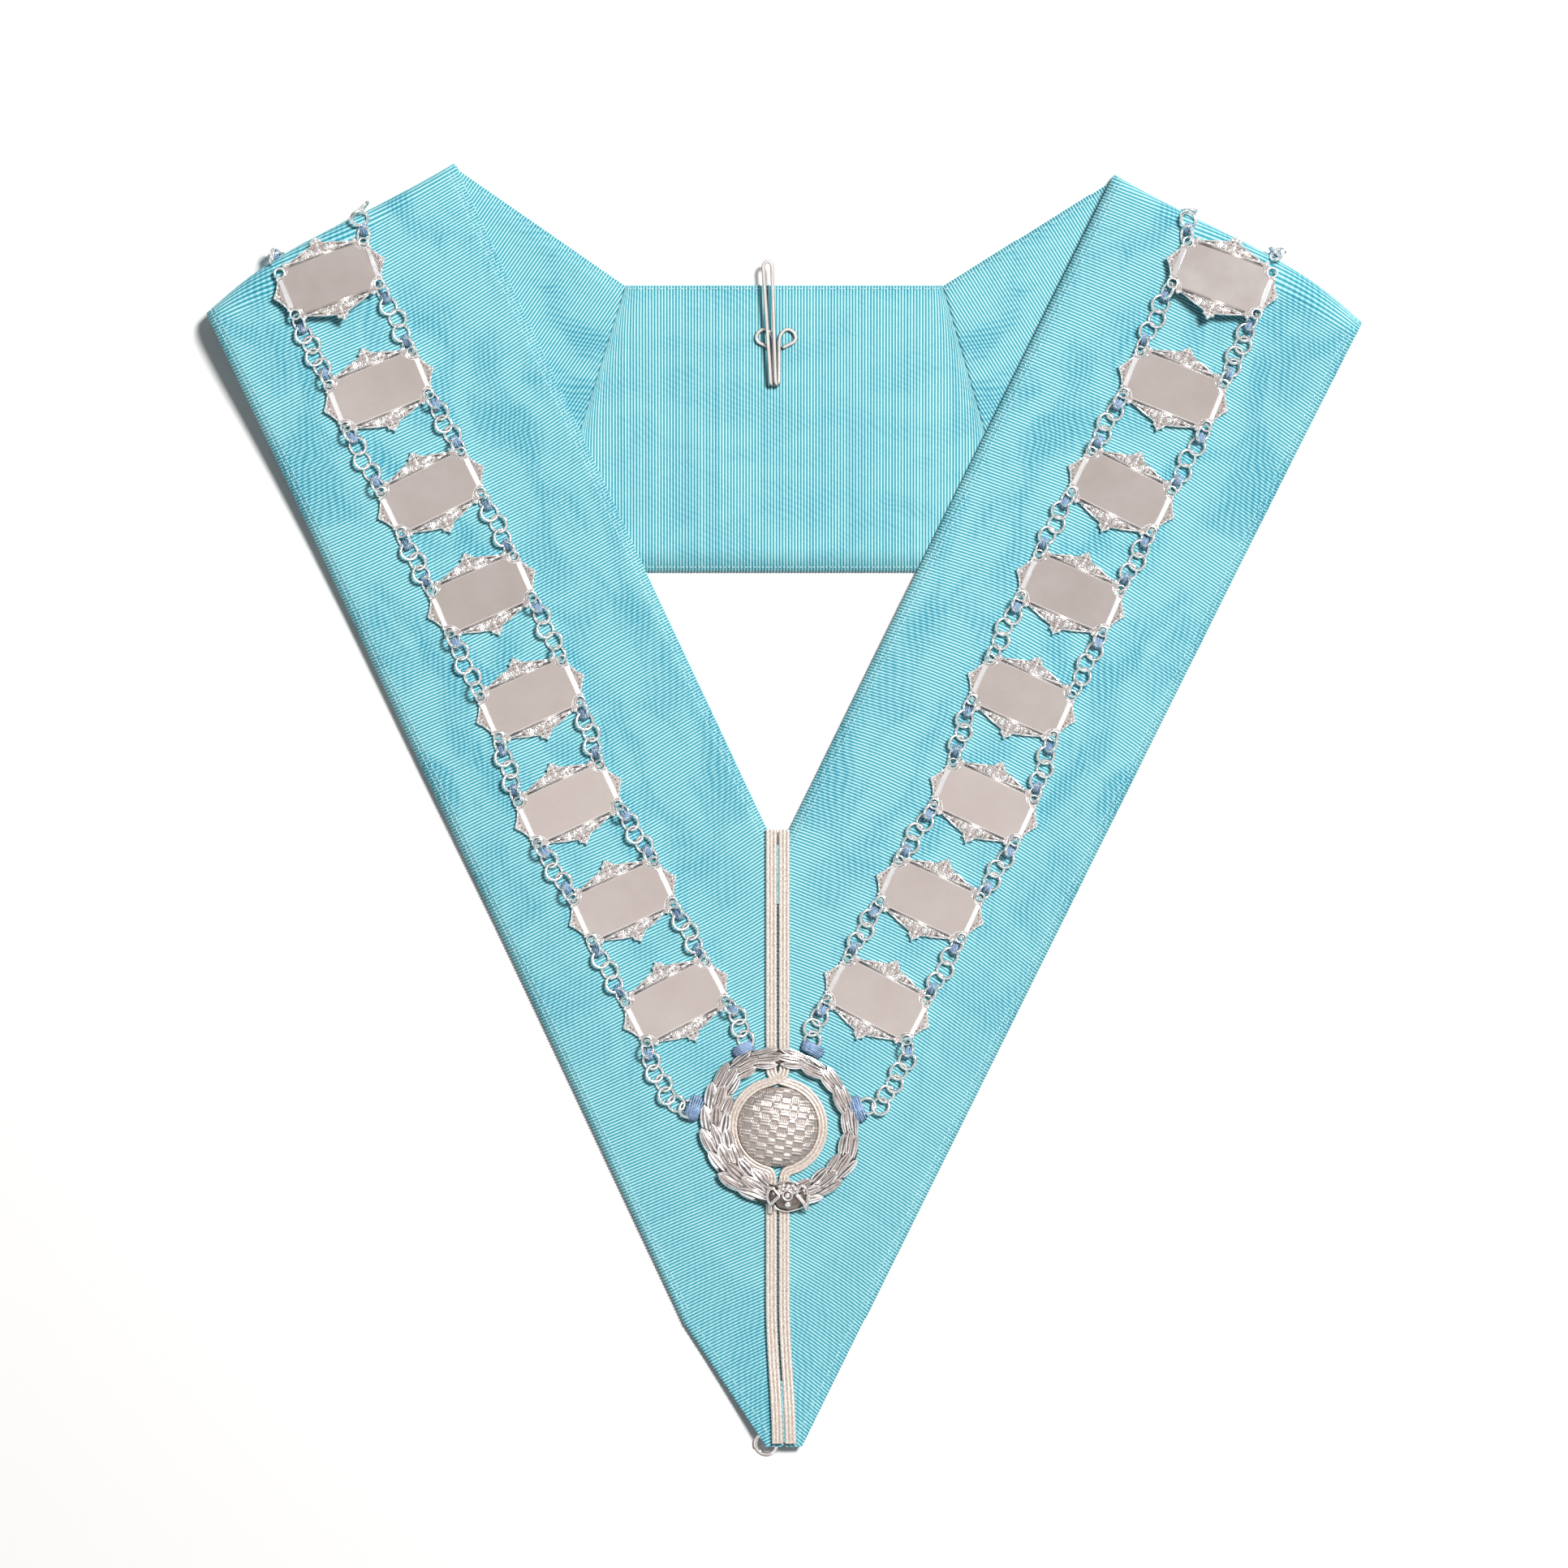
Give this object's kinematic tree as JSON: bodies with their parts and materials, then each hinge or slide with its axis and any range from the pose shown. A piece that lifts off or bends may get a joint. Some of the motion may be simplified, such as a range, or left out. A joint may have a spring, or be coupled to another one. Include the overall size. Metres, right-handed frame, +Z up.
{
  "type": "chain collar of regalia",
  "caption": "Wide ribbon collar folded over both shoulders and laid flat, set with bare cast plates on ring chain, a laurel wreath, a braid and a woven button.",
  "frame": {"origin": "middle of the underside of the neck ribbon, on the surface that the collar lies on", "axes": "+X to the right as seen from above, +Y towards the top of the collar away from its tip, +Z up from the surface"},
  "size_m": [0.4091, 0.4592, 0.0157],
  "materials": {
    "ribbon": "turquoise watered ribbon, satin sheen on fine ribs",
    "silver": "polished silver plate",
    "chain_silver": "silver-plated wire",
    "metal_thread": "twisted silver thread with a warm sheen",
    "nickel": "bright nickel wire"
  },
  "bodies": {
    "root": {"left_ribbon": "ribbon", "right_ribbon": "ribbon", "neck_ribbon": "ribbon", "braid": "metal_thread", "button": "metal_thread", "wreath": "silver", "hook": "nickel", "tip_ring": "nickel", "plate_left_1": "silver", "plate_left_2": "silver", "plate_left_3": "silver", "plate_left_4": "silver", "plate_left_5": "silver", "plate_left_6": "silver", "plate_left_7": "silver", "plate_left_8": "silver", "plate_right_1": "silver", "plate_right_2": "silver", "plate_right_3": "silver", "plate_right_4": "silver", "plate_right_5": "silver", "plate_right_6": "silver", "plate_right_7": "silver", "plate_right_8": "silver", "chain_left_inner_0": "chain_silver", "chain_left_inner_1": "chain_silver", "chain_left_inner_2": "chain_silver", "chain_left_inner_3": "chain_silver", "chain_left_inner_4": "chain_silver", "chain_left_inner_5": "chain_silver", "chain_left_inner_6": "chain_silver", "chain_left_inner_7": "chain_silver", "chain_left_inner_8": "chain_silver", "chain_left_outer_0": "chain_silver", "chain_left_outer_1": "chain_silver", "chain_left_outer_2": "chain_silver", "chain_left_outer_3": "chain_silver", "chain_left_outer_4": "chain_silver", "chain_left_outer_5": "chain_silver", "chain_left_outer_6": "chain_silver", "chain_left_outer_7": "chain_silver", "chain_left_outer_8": "chain_silver", "chain_right_inner_0": "chain_silver", "chain_right_inner_1": "chain_silver", "chain_right_inner_2": "chain_silver", "chain_right_inner_3": "chain_silver", "chain_right_inner_4": "chain_silver", "chain_right_inner_5": "chain_silver", "chain_right_inner_6": "chain_silver", "chain_right_inner_7": "chain_silver", "chain_right_inner_8": "chain_silver", "chain_right_outer_0": "chain_silver", "chain_right_outer_1": "chain_silver", "chain_right_outer_2": "chain_silver", "chain_right_outer_3": "chain_silver", "chain_right_outer_4": "chain_silver", "chain_right_outer_5": "chain_silver", "chain_right_outer_6": "chain_silver", "chain_right_outer_7": "chain_silver", "chain_right_outer_8": "chain_silver"}
  },
  "joints": []
}
